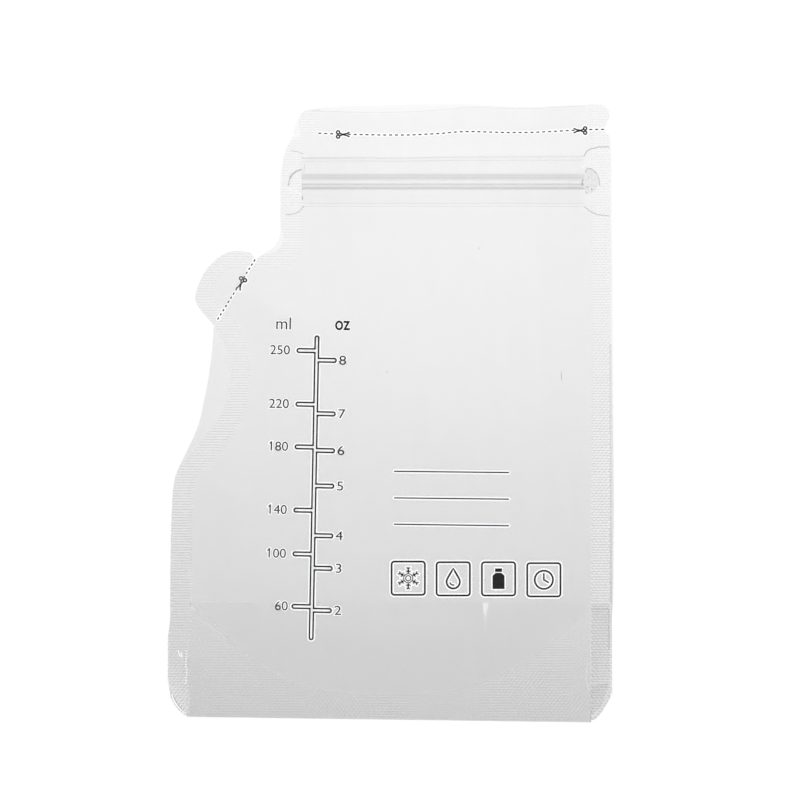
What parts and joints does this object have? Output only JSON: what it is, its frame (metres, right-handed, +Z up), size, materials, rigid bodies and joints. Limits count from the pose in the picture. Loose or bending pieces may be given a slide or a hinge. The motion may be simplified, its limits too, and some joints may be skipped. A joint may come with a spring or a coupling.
{
  "type": "milk storage bag",
  "caption": "Flat clear film pouch with a tear-off header, press-to-close zip, tear-off pouring spout on the shoulder and a folded base gusset.",
  "frame": {"origin": "centre of the bag's box, on the table that its back lies on", "axes": "+X to the bag's straight side, +Y to its mouth, +Z up out of its front film"},
  "size_m": [0.14, 0.1949, 0.0019],
  "materials": {
    "clear_film": "clear laminated film",
    "knurled_weld": "knurled heat seal",
    "zip_tape": "extruded clear tape"
  },
  "bodies": {
    "pouch": {"back_film": "clear_film", "front_film": "clear_film", "left_neck_seal": "knurled_weld", "left_side_seal": "knurled_weld", "right_side_seal": "knurled_weld", "zip_female_strip": "zip_tape", "gusset_back_leaf": "clear_film", "back_base_seal": "knurled_weld", "left_corner_tack": "knurled_weld", "right_corner_tack": "knurled_weld"},
    "mouth": {"front_mouth_film": "clear_film", "zip_male_strip": "zip_tape"},
    "front_foot": {"front_foot_film": "clear_film", "gusset_front_leaf": "clear_film", "front_base_seal": "knurled_weld"},
    "header": {"header_front_film": "clear_film", "header_back_film": "clear_film", "header_left_seal": "knurled_weld", "header_right_seal": "knurled_weld"},
    "spout_ear": {"spout_ear_seal": "knurled_weld", "spout_front_film": "clear_film", "spout_back_film": "clear_film"}
  },
  "joints": [
    {"name": "mouth_opening", "type": "hinge", "parent": "pouch", "child": "mouth", "pos_m": [0.0178, 0.0544, 0.00085], "axis": [1, 0, 0], "range_deg": [0, 35]},
    {"name": "gusset_opening", "type": "hinge", "parent": "pouch", "child": "front_foot", "pos_m": [0, -0.05995, 0.00065], "axis": [-1, 0, 0], "range_deg": [0, 50]},
    {"name": "header_tear_off", "type": "slide", "parent": "pouch", "child": "header", "axis": [0, 1, 0], "range_m": [0, 0.04]},
    {"name": "spout_tear_off", "type": "slide", "parent": "pouch", "child": "spout_ear", "axis": [-0.8443, 0.5358, 0], "range_m": [0, 0.04]}
  ]
}
